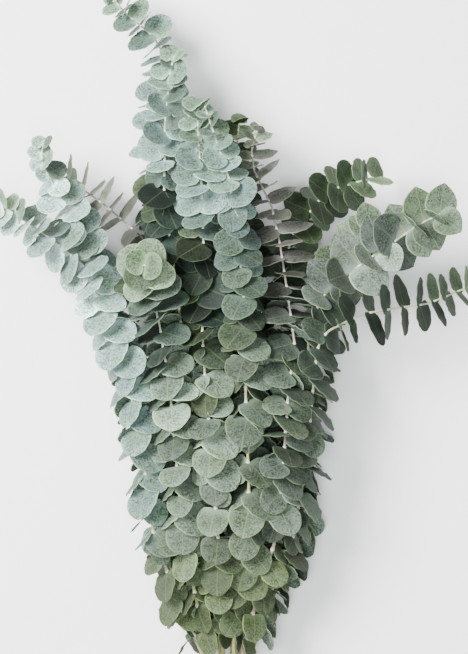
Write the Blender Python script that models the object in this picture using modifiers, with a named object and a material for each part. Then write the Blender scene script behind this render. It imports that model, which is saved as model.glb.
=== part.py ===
"""A tied bunch of fifteen baby-blue eucalyptus branches, lying on a table.

The tips point along +Y and the cut ends along -Y. The table is the plane z = 0.
Each branch is one solid: its tapering stem with its opposite pairs of round leaves fused to it.
A twine tie goes three times round the bare stems.
Routes, leaf sizes and other numbers in the tables are real millimetres.
"""

import math
import random
from typing import NamedTuple

import bmesh
import bpy
from mathutils import Quaternion, Vector
from mathutils.bvhtree import BVHTree

MM = 0.001
SHARP_ANGLE = math.radians(61)

# The row frame's origin, in the millimetres of the route table: under the middle of the bunch
ORIGIN = Vector((3.5, 241.0, 0.0))

# Stems
STEM_RADIUS = 2.3
STEM_TIP_RADIUS = 0.75
STEM_TAPER = 0.8
SMOOTH_STEPS = 12
STEM_BEND_STEP = math.radians(21)
STEM_SAG = 1.3
CUT_END_Y = -109.0
CUT_END_STAGGER = 7.0
END_SPREAD = 1.12

# The tie, and the stems inside it
TIE_Y = -55.0
TIE_HEIGHT = 22.5
TIE_SLOPE = 0.22
STEM_GAP = 0.5
BUNDLE_SHRINK = 0.17
TWINE_RADIUS = 1.0
TWINE_TURNS = 3
TWINE_PITCH = 2.1
TWINE_CORNERS = 10
KNOT_SIZE = Vector((3.4, 3.0, 2.2))
TAIL_LENGTH = 24.0

# Just above the tie the stems are this much of their spread lower in the body
NECK_Y = 10.0
NECK_SPREAD = 0.44
NECK_SHIFT = -6.0
NECK_HEIGHT = 37.0
BODY_MID_HEIGHT = 57.0

# Leaves
NODE_SPACING = 13.4
BARE_ABOVE_TIE = 76.0
PAIR_TURN = math.radians(90.8)
BLADE_THICKNESS = 0.7
ROOT_DEPTH = 0.38
YOUNG_ARCH = 0.10
OLD_ARCH = -0.18
TIP_SPACING = 0.5
BASE_SHRINK = 0.2
SPACING_AT = 75.0
FREE_DROOP = math.radians(20)
BODY_DROOP = math.radians(18)
DROOP_SHARE = 0.10

# In the body, where the branches lie together, all leaves are of one size and kind
BODY_BLADE = 31.0
BODY_SLENDER = 0.86
BODY_FACING = 0.5
BODY_MIDDLE = Vector((-3.0, 200.0, 0.0))
BODY_REACH = 100.0
FREE_REACH = 170.0

# Counted down from the tip, the first pair is a solid one, and so is every third after that
SOLID_EVERY = 3

# Keeping blades clear of each other
CLEARANCE = 0.16
TRIES = 44
DEEPEST_BEND = 12.0


class Branch(NamedTuple):
    """One leafy stem. A route runs from the leafy body to the tip."""

    name: str
    low: tuple  # x and z where the body is narrow, at y = 100
    route: list
    blade: float  # size of a full-grown leaf of the free part
    tip: tuple  # the first leaf's share of that length, and how far below the tip they are full grown
    slender: float  # its length over its width
    spacing: float  # length between the pairs of the free part
    turn: float  # where round the stem the first pair stands, in degrees
    lean: tuple  # the leaves' angle from the stem's direction: low, middle, tip
    flat: float  # how far the pairs of the free part lie in one plane
    facing: float  # how far its blades roll towards where they look
    looks: tuple  # where that is


UP = (0.0, 0.0, 1.0)
DOWN = (0.0, 0.0, -1.0)

BRANCHES = [
    Branch("branch_left_front", (-69, 48), [
        (-88, 230, 58), (-99, 274, 60), (-112, 310, 61), (-125, 341, 61), (-139, 373, 62),
        (-153, 404, 64), (-165, 426, 66), (-174, 448, 68), (-172, 460, 70)],
        33, (0.40, 90), 0.86, 15.5, 40, (118, 108, 66), 0.35, 0.75, UP),
    Branch("branch_rosette", (-44, 86), [
        (-56, 230, 96), (-64, 285, 92), (-72, 318, 88), (-77, 339, 96), (-79, 347, 110), (-79, 349, 122)],
        36, (0.66, 22), 0.86, 13.4, 60, (120, 112, 66), 0, 0.2, UP),
    Branch("branch_centre_left", (-14, 92), [
        (-24, 230, 100), (-28, 278, 86), (-29, 322, 78), (-27, 372, 82), (-29, 420, 91),
        (-32, 462, 93), (-32, 490, 94)],
        30, (0.60, 60), 0.86, 13.4, 50, (120, 112, 60), 0.3, 0.7, UP),
    Branch("branch_centre", (13, 92), [
        (10, 230, 104), (10, 301, 104), (8, 332, 102), (4, 359, 100), (1, 395, 98),
        (-4, 425, 98), (-12, 450, 99), (-20, 473, 101), (-26, 491, 104)],
        28, (0.36, 85), 0.86, 13.4, 42, (120, 112, 62), 0.3, 0.75, UP),
    Branch("branch_slender_top", (36, 86), [
        (48, 230, 98), (54, 290, 88), (47, 330, 76), (42, 366, 70), (36, 398, 68),
        (24, 422, 68), (17, 440, 69), (16, 455, 70), (21, 472, 72)],
        27, (0.55, 90), 1.5, 13.4, 10, (118, 94, 72), 0, 0.4, UP),
    Branch("branch_right_low", (52, 66), [
        (70, 230, 84), (72, 262, 92), (80, 287, 98), (100, 299, 98), (120, 308, 94),
        (145, 310, 90), (160, 312, 88), (188, 320, 86), (208, 329, 86), (217, 334, 87)],
        25, (0.80, 80), 1.5, 16.0, 40, (116, 98, 60), 0.4, 0.45, UP),
    Branch("branch_right_broad", (50, 42), [
        (66, 230, 56), (66, 280, 70), (79, 322, 84), (107, 346, 92), (127, 360, 94),
        (148, 373, 94), (167, 387, 94), (184, 395, 95)],
        37, (0.80, 50), 0.9, 14.0, 55, (116, 100, 62), 0.7, 0.85, UP),
    Branch("branch_tall_right", (-22, 60), [
        (-40, 230, 66), (-48, 300, 70), (-60, 380, 72), (-64, 445, 72), (-62, 481, 71),
        (-61, 498, 71), (-58, 521, 72), (-54, 538, 74)],
        30, (0.55, 60), 0.86, 13.4, 45, (120, 114, 60), 0.3, 0.75, UP),
    Branch("branch_tall_left", (-16, 19), [
        (-34, 230, 21), (-48, 300, 30), (-67, 400, 46), (-68, 470, 50), (-66, 508, 52),
        (-63, 540, 56), (-74, 559, 58), (-90, 573, 58), (-101, 581, 58), (-110, 592, 58)],
        30, (0.55, 110), 0.95, 14.0, 15, (118, 112, 60), 0.2, 0.5, UP),
    Branch("branch_left_tip", (-70, 72), [
        (-90, 230, 86), (-108, 290, 86), (-124, 328, 84), (-138, 353, 82), (-157, 368, 80),
        (-179, 383, 77), (-197, 395, 75), (-209, 404, 74)],
        33, (0.58, 85), 0.88, 15.0, 45, (118, 110, 60), 0.4, 0.65, UP),
    Branch("branch_right_dark", (28, 18), [
        (40, 230, 19), (44, 290, 26), (46, 354, 40), (54, 380, 44), (69, 400, 48),
        (86, 417, 52), (104, 425, 54), (127, 430, 57)],
        30, (0.80, 50), 0.95, 13.4, 30, (116, 104, 66), 0.3, 0.7, UP),
    Branch("branch_left_slender", (-52, 18), [
        (-68, 230, 19), (-66, 300, 34), (-66, 346, 44), (-76, 368, 46), (-91, 383, 47),
        (-112, 401, 47), (-132, 416, 46), (-152, 430, 46)],
        25, (0.80, 60), 1.6, 14.5, 70, (118, 92, 66), 0.3, 0.35, UP),
    Branch("branch_centre_back", (14, 60), [
        (22, 230, 66), (20, 300, 64), (8, 360, 59), (0, 420, 56), (1, 455, 58),
        (5, 480, 62)],
        28, (0.50, 80), 0.9, 13.4, 5, (118, 108, 66), 0, 0.4, UP),
    Branch("branch_under_middle", (6, 18), [
        (6, 230, 19), (6, 300, 22), (2, 360, 26), (4, 412, 32)],
        31, (0.50, 80), 0.9, 13.4, 50, (118, 108, 60), 0, 0.3, DOWN),
    Branch("branch_right_middle", (60, 20), [
        (70, 230, 20), (76, 280, 30), (86, 322, 46), (99, 350, 60), (112, 370, 68), (124, 386, 74)],
        34, (0.66, 50), 0.9, 14.0, 25, (112, 104, 66), 0.7, 0.85, UP),
]


class Line:
    """A stem's centre line: straight steps between rings, with a direction and an untwisted frame."""

    def __init__(self, points):
        dense = smooth(points, SMOOTH_STEPS)
        self.rings = thinned(dense)
        self.lengths = [0.0]
        for a, b in zip(self.rings, self.rings[1:]):
            self.lengths.append(self.lengths[-1] + (b - a).length)
        self.length = self.lengths[-1]
        self.along = ring_directions(self.rings)
        self.across = [Vector(UP).cross(self.along[0]).normalized()]
        for a, b in zip(self.along, self.along[1:]):
            self.across.append((a.rotation_difference(b) @ self.across[-1]).normalized())

    def at(self, s):
        """The place, the direction and the two sideways directions (up, right) at length s."""
        i = 0
        while i < len(self.rings) - 2 and self.lengths[i + 1] < s:
            i += 1
        share = (s - self.lengths[i]) / (self.lengths[i + 1] - self.lengths[i])
        along = self.along[i].lerp(self.along[i + 1], share).normalized()
        right = self.across[i].lerp(self.across[i + 1], share)
        right = (right - along * right.dot(along)).normalized() * -1
        return self.rings[i].lerp(self.rings[i + 1], share), along, right.cross(along), right

    def radius(self, s):
        return STEM_RADIUS + (STEM_TIP_RADIUS - STEM_RADIUS) * min(1.0, s / self.length) ** STEM_TAPER


def smooth(points, steps):
    """Points along a smooth line through the given ones, which may be unevenly spaced."""
    gaps = [(b - a).length for a, b in zip(points, points[1:])]
    slopes = [(b - a) / gap for a, b, gap in zip(points, points[1:], gaps)]
    turns = [(a * after + b * before) / (before + after)
             for a, b, before, after in zip(slopes, slopes[1:], gaps, gaps[1:])]
    turns = [slopes[0] * 1.5 - turns[0] * 0.5, *turns, slopes[-1] * 1.5 - turns[-1] * 0.5]
    line = []
    for a, b, gap, start, end in zip(points, points[1:], gaps, turns, turns[1:]):
        for i in range(steps):
            t = i / steps
            line.append(a * (2 * t**3 - 3 * t**2 + 1) + start * (gap * (t**3 - 2 * t**2 + t))
                        + b * (3 * t**2 - 2 * t**3) + end * (gap * (t**3 - t**2)))
    return [*line, points[-1]]


def thinned(dense):
    """The points of a line where it has bent or run far enough to need a ring, and both at the tie."""
    kept = [dense[0]]
    bend = run = 0.0
    for i, (a, b, c) in enumerate(zip(dense, dense[1:], dense[2:]), 1):
        bend += (b - a).angle(c - b, 0.0)
        run += (b - a).length
        if bend > STEM_BEND_STEP or bend * run > 8 * STEM_SAG or i in (SMOOTH_STEPS, 2 * SMOOTH_STEPS):
            kept.append(b)
            bend = run = 0.0
    return [*kept, dense[-1]]


def ring_directions(rings):
    """The line's direction at each ring: the mean of the steps before and after it."""
    steps = [(b - a).normalized() for a, b in zip(rings, rings[1:])]
    middle = [(a + b).normalized() for a, b in zip(steps, steps[1:])]
    return [steps[0], *middle, steps[-1]]


def bundled(starts, pitch):
    """Moves the places together until none is nearer to another than the pitch, as a tie does."""
    places = [place.copy() for place in starts]
    for turn in range(1500):
        if turn < 300:
            places = [place * 0.985 for place in places]
        for i, a in enumerate(places):
            for b in places[i + 1:]:
                apart = b - a
                if apart.length < pitch:
                    push = apart.normalized() * (pitch - apart.length) / 2
                    a -= push
                    b += push
    return places


def stem_lines():
    """The centre line of each branch, from its cut end through the tie to its tip."""
    starts = [Vector(((b.low[0] - 4) * BUNDLE_SHRINK, (b.low[1] - BODY_MID_HEIGHT) * BUNDLE_SHRINK))
              for b in BRANCHES]
    slots = bundled(starts, 2 * STEM_RADIUS + STEM_GAP)
    lowest = min(slot.y for slot in slots) * END_SPREAD
    end_height = STEM_RADIUS - lowest + CUT_END_STAGGER * TIE_SLOPE
    stagger = random.Random(4)
    lines = []
    for branch, slot in zip(BRANCHES, slots):
        late = stagger.uniform(-1, 1) * CUT_END_STAGGER
        low_x, low_z = branch.low
        neck_z = NECK_HEIGHT + (low_z - BODY_MID_HEIGHT) * NECK_SPREAD
        points = [
            (slot.x * END_SPREAD, CUT_END_Y + late, end_height + slot.y * END_SPREAD + late * TIE_SLOPE),
            (slot.x, TIE_Y - 14, TIE_HEIGHT - 14 * TIE_SLOPE + slot.y),
            (slot.x, TIE_Y, TIE_HEIGHT + slot.y),
            (low_x * NECK_SPREAD + NECK_SHIFT, NECK_Y, neck_z),
            (low_x, 100, low_z),
            *branch.route,
        ]
        lines.append(Line([Vector(p) - ORIGIN for p in points]))
    return lines, slots


class Leaf(NamedTuple):
    """Where one leaf stands and how: all that its blade is made from."""

    root: Vector
    along: Vector
    face: Vector
    length: float
    width: float
    arch: float  # how far the tip rises towards the upper face, over the length


def outward(place):
    """From the middle of the body's cross-section to a place, as a direction: out of the bunch."""
    y = place.y + ORIGIN.y
    middle_x = -3.0 - ORIGIN.x
    middle_z = 57.0 + 8.0 * min(1.0, max(0.0, (y - 100) / 130))
    out = Vector(((place.x - middle_x) / 66, 0.0, (place.z - middle_z) / 44))
    return out.normalized() if out.length > 1e-6 else Vector(UP)


def freedom(place):
    """0 where a place is in the bunch's body, 1 where the branches stand free of each other."""
    reach = ((place + ORIGIN - BODY_MIDDLE) * Vector((1.0, 1.0, 0.0))).length
    above = min(1.0, max(0.0, (place + ORIGIN - BODY_MIDDLE).y / 30.0))
    return above * min(1.0, max(0.0, (reach - BODY_REACH) / (FREE_REACH - BODY_REACH)))


def pair_places(branch, line):
    """(length along the stem, share of the leafy part, share of full size) of each pair, from the tip down."""
    first = line.length - 1.0
    last = BARE_ABOVE_TIE + (TIE_Y - CUT_END_Y)
    places = []
    s = first
    while s > last:
        share = (first - s) / (first - last)
        young, grown_at = branch.tip
        size = young + (1 - young) * min(1.0, (first - s) / grown_at) ** 0.75
        places.append((s, share, size * (1.0 - BASE_SHRINK * max(0.0, share - 0.75) / 0.25)))
        spacing = NODE_SPACING + (branch.spacing - NODE_SPACING) * freedom(line.at(s)[0])
        s -= spacing * (TIP_SPACING + (1 - TIP_SPACING) * min(1.0, (first - s) / SPACING_AT) ** 0.7)
    return places


def lean_at(branch, share):
    """The leaves' angle from the stem's direction, at a share of the leafy part below the tip."""
    low, middle, tip = branch.lean
    if share < 0.45:
        return math.radians(tip + (middle - tip) * (share / 0.45) ** 0.4)
    return math.radians(middle + (low - middle) * (share - 0.45) / 0.55)


def leaf_at(branch, line, pair, side, nudge):
    """The leaf on one side of a pair, moved from its own place by nudge."""
    number, (s, share, size) = pair
    turned, leaned, rolled, shrunk = nudge
    place, along, up, right = line.at(s)
    turn = math.radians(branch.turn) + number * PAIR_TURN + side * math.pi + turned
    free = freedom(place)
    looks = outward(place).lerp(Vector(branch.looks), free).normalized()
    spoke = up * math.cos(turn) + right * math.sin(turn)
    spoke -= looks * (spoke.dot(looks) * branch.flat * free)
    spoke = (spoke - along * spoke.dot(along)).normalized()
    droop = (BODY_DROOP + (FREE_DROOP - BODY_DROOP) * free) * max(0.0, spoke.z) * min(1.0, share / DROOP_SHARE)
    lean = lean_at(branch, share) + droop + leaned
    stretch = along * math.cos(lean) + spoke * math.sin(lean)
    face = along * math.sin(lean) - spoke * math.cos(lean)

    facing = BODY_FACING + (branch.facing - BODY_FACING) * free
    across = looks - stretch * looks.dot(stretch)
    if across.length > 1e-3:
        roll = face.angle(across)
        roll = math.copysign(min(roll, math.pi / 2), face.cross(across).dot(stretch))
        rolled += roll * facing * across.length
    face = Quaternion(stretch, rolled) @ face
    full = BODY_BLADE + (branch.blade - BODY_BLADE) * free
    slender = BODY_SLENDER + (branch.slender - BODY_SLENDER) * free
    sunk = max(0.1, 0.86 * line.radius(s) - ROOT_DEPTH)
    arch = YOUNG_ARCH + (OLD_ARCH - YOUNG_ARCH) * min(1.0, share / 0.5)
    return Leaf(place + spoke * sunk, stretch, face, full * size * shrunk * slender**0.5,
                full * size * shrunk / slender**0.5, arch)


# The outline of a blade: share of its length, and of its half width, from root to tip
OUTLINE = ((0.12, 0.70), (0.42, 1.0), (0.78, 0.66))
SMALL_OUTLINE = ((0.22, 0.90), (0.68, 0.82))
SMALL = 29.5


def blade(leaf, lowest, margin=0.0):
    """Points and triangles of a blade's middle surface, bent flat where it would pass the table."""
    wide = leaf.face.cross(leaf.along)
    length = leaf.length + margin
    half = leaf.width / 2 + margin
    outline = OUTLINE if leaf.length > SMALL else SMALL_OUTLINE
    rows = [(0.0, 0.0), *outline, (1.0, 0.0), *((u, -v) for u, v in reversed(outline))]
    points = [leaf.root + leaf.along * (u * length) + wide * (v * half) + leaf.face * (leaf.arch * u * u * length)
              for u, v in rows]
    level = Vector((leaf.along.x, leaf.along.y, 0.0))
    slide = (1 - level.length) / max(0.2, -leaf.along.z)
    for point in points:
        depth = max(0.0, lowest - point.z)
        point += level.normalized() * (depth * slide) + Vector(UP) * depth
    last = len(points) - 1
    triangles = [(0, 1, last)]
    for i in range(1, len(outline)):
        triangles += [(i, i + 1, last - i), (i, last - i, last - i + 1)]
    triangles.append((len(outline), len(outline) + 1, len(outline) + 2))
    return points, triangles


def thick(points, triangles, offset):
    """A closed blade, for the crossing test: the surface moved both ways, and walls round its edge."""
    count = len(points)
    both = [p + offset for p in points] + [p - offset for p in points]
    walls = []
    for i in range(count):
        j = (i + 1) % count
        walls += [(i, j, i + count), (j, j + count, i + count)]
    return both, triangles + [(a + count, b + count, c + count) for a, b, c in triangles] + walls


class Space:
    """What already fills space: stems and blades, each with a ball round it and a triangle tree."""

    def __init__(self):
        self.taken = []

    def add(self, points, triangles, owner):
        middle = sum(points, Vector()) / len(points)
        radius = max((p - middle).length for p in points)
        tree = BVHTree.FromPolygons(points, triangles, all_triangles=True)
        self.taken.append((middle, radius, tree, owner))

    def free(self, points, triangles, friends):
        """Whether the shape crosses nothing but what belongs to its friends."""
        middle = sum(points, Vector()) / len(points)
        radius = max((p - middle).length for p in points)
        tree = BVHTree.FromPolygons(points, triangles, all_triangles=True)
        near = (other_tree for other, reach, other_tree, owner in self.taken
                if owner not in friends and (other - middle).length < reach + radius)
        return not any(tree.overlap(other_tree) for other_tree in near)


def tube_shape(line, margin):
    """Points and triangles of short six-sided lengths of a stem, for the crossing test."""
    shapes = []
    for i, (a, b) in enumerate(zip(line.rings, line.rings[1:])):
        points = []
        for s, place, along in ((line.lengths[i], a, line.along[i]), (line.lengths[i + 1], b, line.along[i + 1])):
            side = line.across[i] - along * line.across[i].dot(along)
            side.normalize()
            radius = line.radius(s) * 1.08 + margin
            points += [place + Quaternion(along, math.radians(60 * k)) @ side * radius for k in range(6)]
        triangles = []
        for k in range(6):
            j = (k + 1) % 6
            triangles += [(k, j, j + 6), (k, j + 6, k + 6)]
        shapes.append((points, triangles))
    return shapes


def nudges(seed, tries):
    """The leaf's own place first, then places further and further from it."""
    draw = random.Random(seed)
    own = (draw.gauss(0, 0.15), draw.gauss(0, 0.12), draw.gauss(0, 0.18), draw.uniform(0.88, 1.07))
    for i in range(tries):
        reach = i / tries
        yield (
            own[0] + draw.uniform(-0.65, 0.65) * reach,
            own[1] + draw.uniform(-0.75, 0.75) * reach,
            own[2] + draw.uniform(-0.60, 0.60) * reach,
            own[3] * (1 - draw.uniform(0.0, 0.45) * reach),
        )


def is_solid(number):
    """Whether a pair, counted from the tip, is one of those that the solids hold."""
    return number == 0 or number % SOLID_EVERY == 2


def place_leaves(lines):
    """The leaves of each branch, each bent clear of what is there already, or left out."""
    space = Space()
    for index, line in enumerate(lines):
        for points, triangles in tube_shape(line, CLEARANCE):
            space.add(points, triangles, ("stem", index))
    grown = [[] for _ in lines]
    for index, (branch, line) in enumerate(zip(BRANCHES, lines)):
        places = pair_places(branch, line)
        for number, pair in enumerate(places):
            if not is_solid(number):
                continue
            for side in (0, 1):
                seed = index * 1000 + number * 2 + side
                leaf = free_leaf(space, branch, line, (number, pair), side, seed, index,
                                 BLADE_THICKNESS / 2 + CLEARANCE, TRIES)
                if leaf:
                    grown[index].append(leaf)
    return grown


def free_leaf(space, branch, line, pair, side, seed, index, half_thickness, tries):
    """The first of the leaf's places where its blade crosses nothing, or None."""
    owner = (index, pair[0])
    for nudge in nudges(seed, tries):
        leaf = leaf_at(branch, line, pair, side, nudge)
        if (leaf.root + leaf.along * leaf.length).z < -DEEPEST_BEND:
            continue
        points, triangles = blade(leaf, BLADE_THICKNESS / 2, 2 * CLEARANCE)
        points, triangles = thick(points, triangles, leaf.face * half_thickness)
        if space.free(points, triangles, (owner, ("stem", index))):
            space.add(points, triangles, owner)
            return leaf
    return None


def clear_scene():
    for obj in list(bpy.data.objects):
        bpy.data.objects.remove(obj, do_unlink=True)


def material(name, colour, roughness):
    made = bpy.data.materials.new(name)
    made.use_nodes = True
    shader = made.node_tree.nodes["Principled BSDF"]
    shader.inputs["Base Color"].default_value = (*colour, 1.0)
    shader.inputs["Roughness"].default_value = roughness
    shader.inputs["Metallic"].default_value = 0.0
    return made


def collection(name):
    made = bpy.data.collections.new(name)
    bpy.context.scene.collection.children.link(made)
    return made


def new_object(name, mesh, home):
    obj = bpy.data.objects.new(name, mesh)
    home.objects.link(obj)
    return obj


def tube(name, points, radii, home, cyclic=False):
    """A round bar along the points, in millimetres, as a closed mesh in metres."""
    data = bpy.data.curves.new(name, "CURVE")
    data.dimensions = "3D"
    data.bevel_depth = MM
    data.bevel_resolution = 1
    data.use_fill_caps = not cyclic
    spline = data.splines.new("POLY")
    spline.points.add(len(points) - 1)
    for bead, place, radius in zip(spline.points, points, radii):
        bead.co = (*(place * MM), 1.0)
        bead.radius = radius
    spline.use_cyclic_u = cyclic
    curve = new_object(name + "_curve", data, home)
    bpy.context.view_layer.update()
    solid = bpy.data.meshes.new_from_object(curve.evaluated_get(bpy.context.evaluated_depsgraph_get()))
    bpy.data.objects.remove(curve, do_unlink=True)
    bm = bmesh.new()
    bm.from_mesh(solid)
    bmesh.ops.remove_doubles(bm, verts=bm.verts, dist=0.01 * MM)
    bmesh.ops.recalc_face_normals(bm, faces=bm.faces)
    bm.to_mesh(solid)
    bm.free()
    return new_object(name, solid, home)


def blade_object(name, leaf, home):
    points, triangles = blade(leaf, BLADE_THICKNESS / 2)
    mesh = bpy.data.meshes.new(name)
    mesh.from_pydata([p * MM for p in points], [], triangles)
    obj = new_object(name, mesh, home)
    solid = obj.modifiers.new("thickness", "SOLIDIFY")
    solid.thickness = BLADE_THICKNESS * MM
    solid.offset = 0
    solid.use_even_offset = True
    return obj


def fuse(obj, repeats):
    """Joins a collection of closed solids to obj and removes them."""
    union = obj.modifiers.new("fused", "BOOLEAN")
    union.operation = "UNION"
    union.solver = "EXACT"
    union.operand_type = "COLLECTION"
    union.collection = repeats
    bpy.context.view_layer.update()
    evaluated = obj.evaluated_get(bpy.context.evaluated_depsgraph_get())
    joined = bpy.data.meshes.new_from_object(evaluated)
    obj.modifiers.clear()
    obj.data = joined
    for used in list(repeats.objects):
        bpy.data.objects.remove(used, do_unlink=True)
    bpy.data.collections.remove(repeats)


def build_branch(branch, line, leaves, home, look):
    radii = [line.radius(s) for s in line.lengths]
    stem = tube(branch.name, line.rings, radii, home)
    repeats = collection(branch.name + "_leaves")
    for number, leaf in enumerate(leaves):
        blade_object(f"{branch.name}_leaf_{number}", leaf, repeats)
    fuse(stem, repeats)
    stem.data.shade_smooth()
    stem.data.set_sharp_from_angle(angle=SHARP_ANGLE)
    stem.data.materials.clear()
    stem.data.materials.append(look)
    return stem


def tie_outline(slots):
    """A closed loop round the bundled stems: the corners of the twine's centre line, in x and z."""
    step = 2 * math.pi / TWINE_CORNERS
    sides = [Vector((math.cos(i * step), math.sin(i * step))) for i in range(TWINE_CORNERS)]
    reach = [max(slot.dot(side) for slot in slots) + STEM_RADIUS + STEM_GAP + TWINE_RADIUS for side in sides]
    corners = []
    for side, near, far in zip(sides, reach, reach[1:] + reach[:1]):
        along = Vector((-side.y, side.x))
        corners.append(side * near + along * ((far - near * math.cos(step)) / math.sin(step)))
    return corners


def build_tie(slots, home, look):
    """Three turns of twine side by side, with a flat knot on top and two short tails."""
    loop = tie_outline(slots)
    turns = collection("twine_turns")
    made = None
    for turn in range(TWINE_TURNS):
        y = (turn - (TWINE_TURNS - 1) / 2) * TWINE_PITCH
        ring = [Vector((p.x, TIE_Y + y, TIE_HEIGHT + TIE_SLOPE * y + p.y)) - ORIGIN for p in loop]
        target = turns if made else home
        obj = tube(f"twine_turn_{turn}" if made else "twine_tie", ring, [TWINE_RADIUS] * len(ring), target, True)
        made = made or obj
    top = max(loop, key=lambda p: p.y)
    knot = Vector((top.x, TIE_Y, TIE_HEIGHT + top.y + KNOT_SIZE.z * 0.55)) - ORIGIN
    bpy.ops.mesh.primitive_uv_sphere_add(segments=8, ring_count=6, radius=MM, location=knot * MM)
    ball = bpy.context.object
    ball.scale = KNOT_SIZE
    bpy.ops.object.transform_apply(location=False, rotation=False, scale=True)
    for used in list(ball.users_collection):
        used.objects.unlink(ball)
    turns.objects.link(ball)
    for side in (-1, 1):
        tail = [knot, knot + Vector((side * 5, -1, 1.2)), knot + Vector((side * 11, -5, 1.4)),
                knot + Vector((side * 15, -13, 0.4)), knot + Vector((side * 16.5, -TAIL_LENGTH, -1.5))]
        tube(f"twine_tail_{side}", tail, [TWINE_RADIUS * 0.9] * len(tail), turns)
    fuse(made, turns)
    made.data.shade_smooth()
    made.data.set_sharp_from_angle(angle=SHARP_ANGLE)
    made.data.materials.clear()
    made.data.materials.append(look)
    return made


def main():
    clear_scene()
    home = collection("eucalyptus_bunch")
    leaf_look = material("glaucous_leaf", (0.36, 0.43, 0.39), 0.75)
    twine_look = material("jute_twine", (0.42, 0.31, 0.18), 0.9)
    lines, slots = stem_lines()
    grown = place_leaves(lines)
    nodes = [build_branch(branch, line, leaves, home, leaf_look)
             for branch, line, leaves in zip(BRANCHES, lines, grown)]
    nodes.append(build_tie(slots, home, twine_look))
    bunch = bpy.data.objects.new("bunch", None)
    home.objects.link(bunch)
    for node in nodes:
        node.parent = bunch


main()
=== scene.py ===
"""The looks of the eucalyptus bunch: every leaf, stem and the twine, with their finishes.

The bunch lies on the floor with its tips towards +Y, and the camera looks straight down on it.
The branches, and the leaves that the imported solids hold, follow the same rules as the solids do.
The leaf pairs between those are added here, each bent clear of what is already there.
"""

import math
import random
from typing import NamedTuple

import bpy
import numpy as np
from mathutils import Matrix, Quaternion, Vector
from mathutils.bvhtree import BVHTree

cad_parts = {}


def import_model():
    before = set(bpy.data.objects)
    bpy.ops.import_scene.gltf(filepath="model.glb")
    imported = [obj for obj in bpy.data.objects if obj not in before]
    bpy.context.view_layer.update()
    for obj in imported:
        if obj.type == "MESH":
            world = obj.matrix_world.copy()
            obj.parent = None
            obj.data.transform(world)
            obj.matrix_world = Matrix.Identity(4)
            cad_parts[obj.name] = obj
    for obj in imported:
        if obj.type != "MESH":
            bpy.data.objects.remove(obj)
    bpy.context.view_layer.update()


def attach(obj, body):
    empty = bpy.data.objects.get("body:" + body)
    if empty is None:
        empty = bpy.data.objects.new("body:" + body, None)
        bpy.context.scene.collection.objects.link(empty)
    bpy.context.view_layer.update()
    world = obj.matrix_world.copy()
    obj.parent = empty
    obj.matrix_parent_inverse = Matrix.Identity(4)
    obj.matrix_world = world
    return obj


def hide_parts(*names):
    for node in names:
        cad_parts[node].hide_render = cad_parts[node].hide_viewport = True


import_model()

MM = 0.001

# The row frame's origin, in the millimetres of the route table: under the middle of the bunch
ORIGIN = Vector((3.5, 241.0, 0.0))

# Stems
STEM_RADIUS = 2.3
STEM_TIP_RADIUS = 0.75
STEM_TAPER = 0.8
SMOOTH_STEPS = 12
STEM_BEND_STEP = math.radians(21)
STEM_SAG = 1.3
CUT_END_Y = -109.0
CUT_END_STAGGER = 7.0
END_SPREAD = 1.12
STAGGER_SEED = 4

# The tie, and the stems inside it
TIE_Y = -55.0
TIE_HEIGHT = 22.5
TIE_SLOPE = 0.22
TIE_HOLD = 14.0
STEM_GAP = 0.5
BUNDLE_SHRINK = 0.17
BUNDLE_MIDDLE = 4.0
BUNDLE_TURNS = 1500
BUNDLE_PULLS = 300
BUNDLE_PULL = 0.985
TWINE_RADIUS = 1.0
TWINE_TURNS = 3
TWINE_PITCH = 2.1
TWINE_CORNERS = 10
KNOT_HEIGHT = 2.2
KNOT_SEAT = 0.55
TAIL_ROUTE = ((0.0, 0.0, 0.0), (5.0, -1.0, 1.2), (11.0, -5.0, 1.4), (15.0, -13.0, 0.4), (16.5, -24.0, -1.5))

# Just above the tie the stems are this much of their spread lower in the body
NECK_Y = 10.0
NECK_SPREAD = 0.44
NECK_SHIFT = -6.0
NECK_HEIGHT = 37.0

# The leafy body's cross-section: its middle's height at its narrow end, how far it rises, and half its size
BODY_LOW_Y = 100.0
BODY_MID_HEIGHT = 57.0
BODY_RISE = 8.0
BODY_RISE_LENGTH = 130.0
BODY_HALF_WIDTH = 66.0
BODY_HALF_HEIGHT = 44.0

# Leaves, in pairs counted down from the tip
FIRST_PAIR = 1.0
NODE_SPACING = 13.4
BARE_ABOVE_TIE = 76.0
PAIR_TURN = math.radians(90.8)
BLADE_THICKNESS = 0.7
ROOT_SHARE = 0.86
ROOT_DEPTH = 0.38
LEAST_ROOT = 0.1
YOUNG_ARCH = 0.10
OLD_ARCH = -0.18
OLD_ARCH_AT = 0.5
TIP_SPACING = 0.5
SPACING_AT = 75.0
SPACING_CURVE = 0.7
SIZE_CURVE = 0.75
BASE_SHRINK = 0.2
BASE_FROM = 0.75
LEAN_MIDDLE = 0.45
LEAN_REST = 0.55
LEAN_CURVE = 0.4
FREE_DROOP = math.radians(20)
BODY_DROOP = math.radians(18)
DROOP_SHARE = 0.10

# In the body, where the branches lie together, all leaves are of one size and kind
BODY_BLADE = 31.0
BODY_SLENDER = 0.86
BODY_FACING = 0.5
BODY_MIDDLE = Vector((-3.0, 200.0, 0.0))
BODY_REACH = 100.0
FREE_REACH = 170.0
FREE_RISE = 30.0

# Counted down from the tip, the first pair is a solid one, and so is every third after that
SOLID_EVERY = 3

# Keeping blades clear of each other, of the stems and of the table
CLEARANCE = 0.16
TRIES = 44
DEEPEST_BEND = 12.0
LEAST_DROP = 0.2
TEST_SIDES = 6
TEST_ROOM = 1.08

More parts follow.
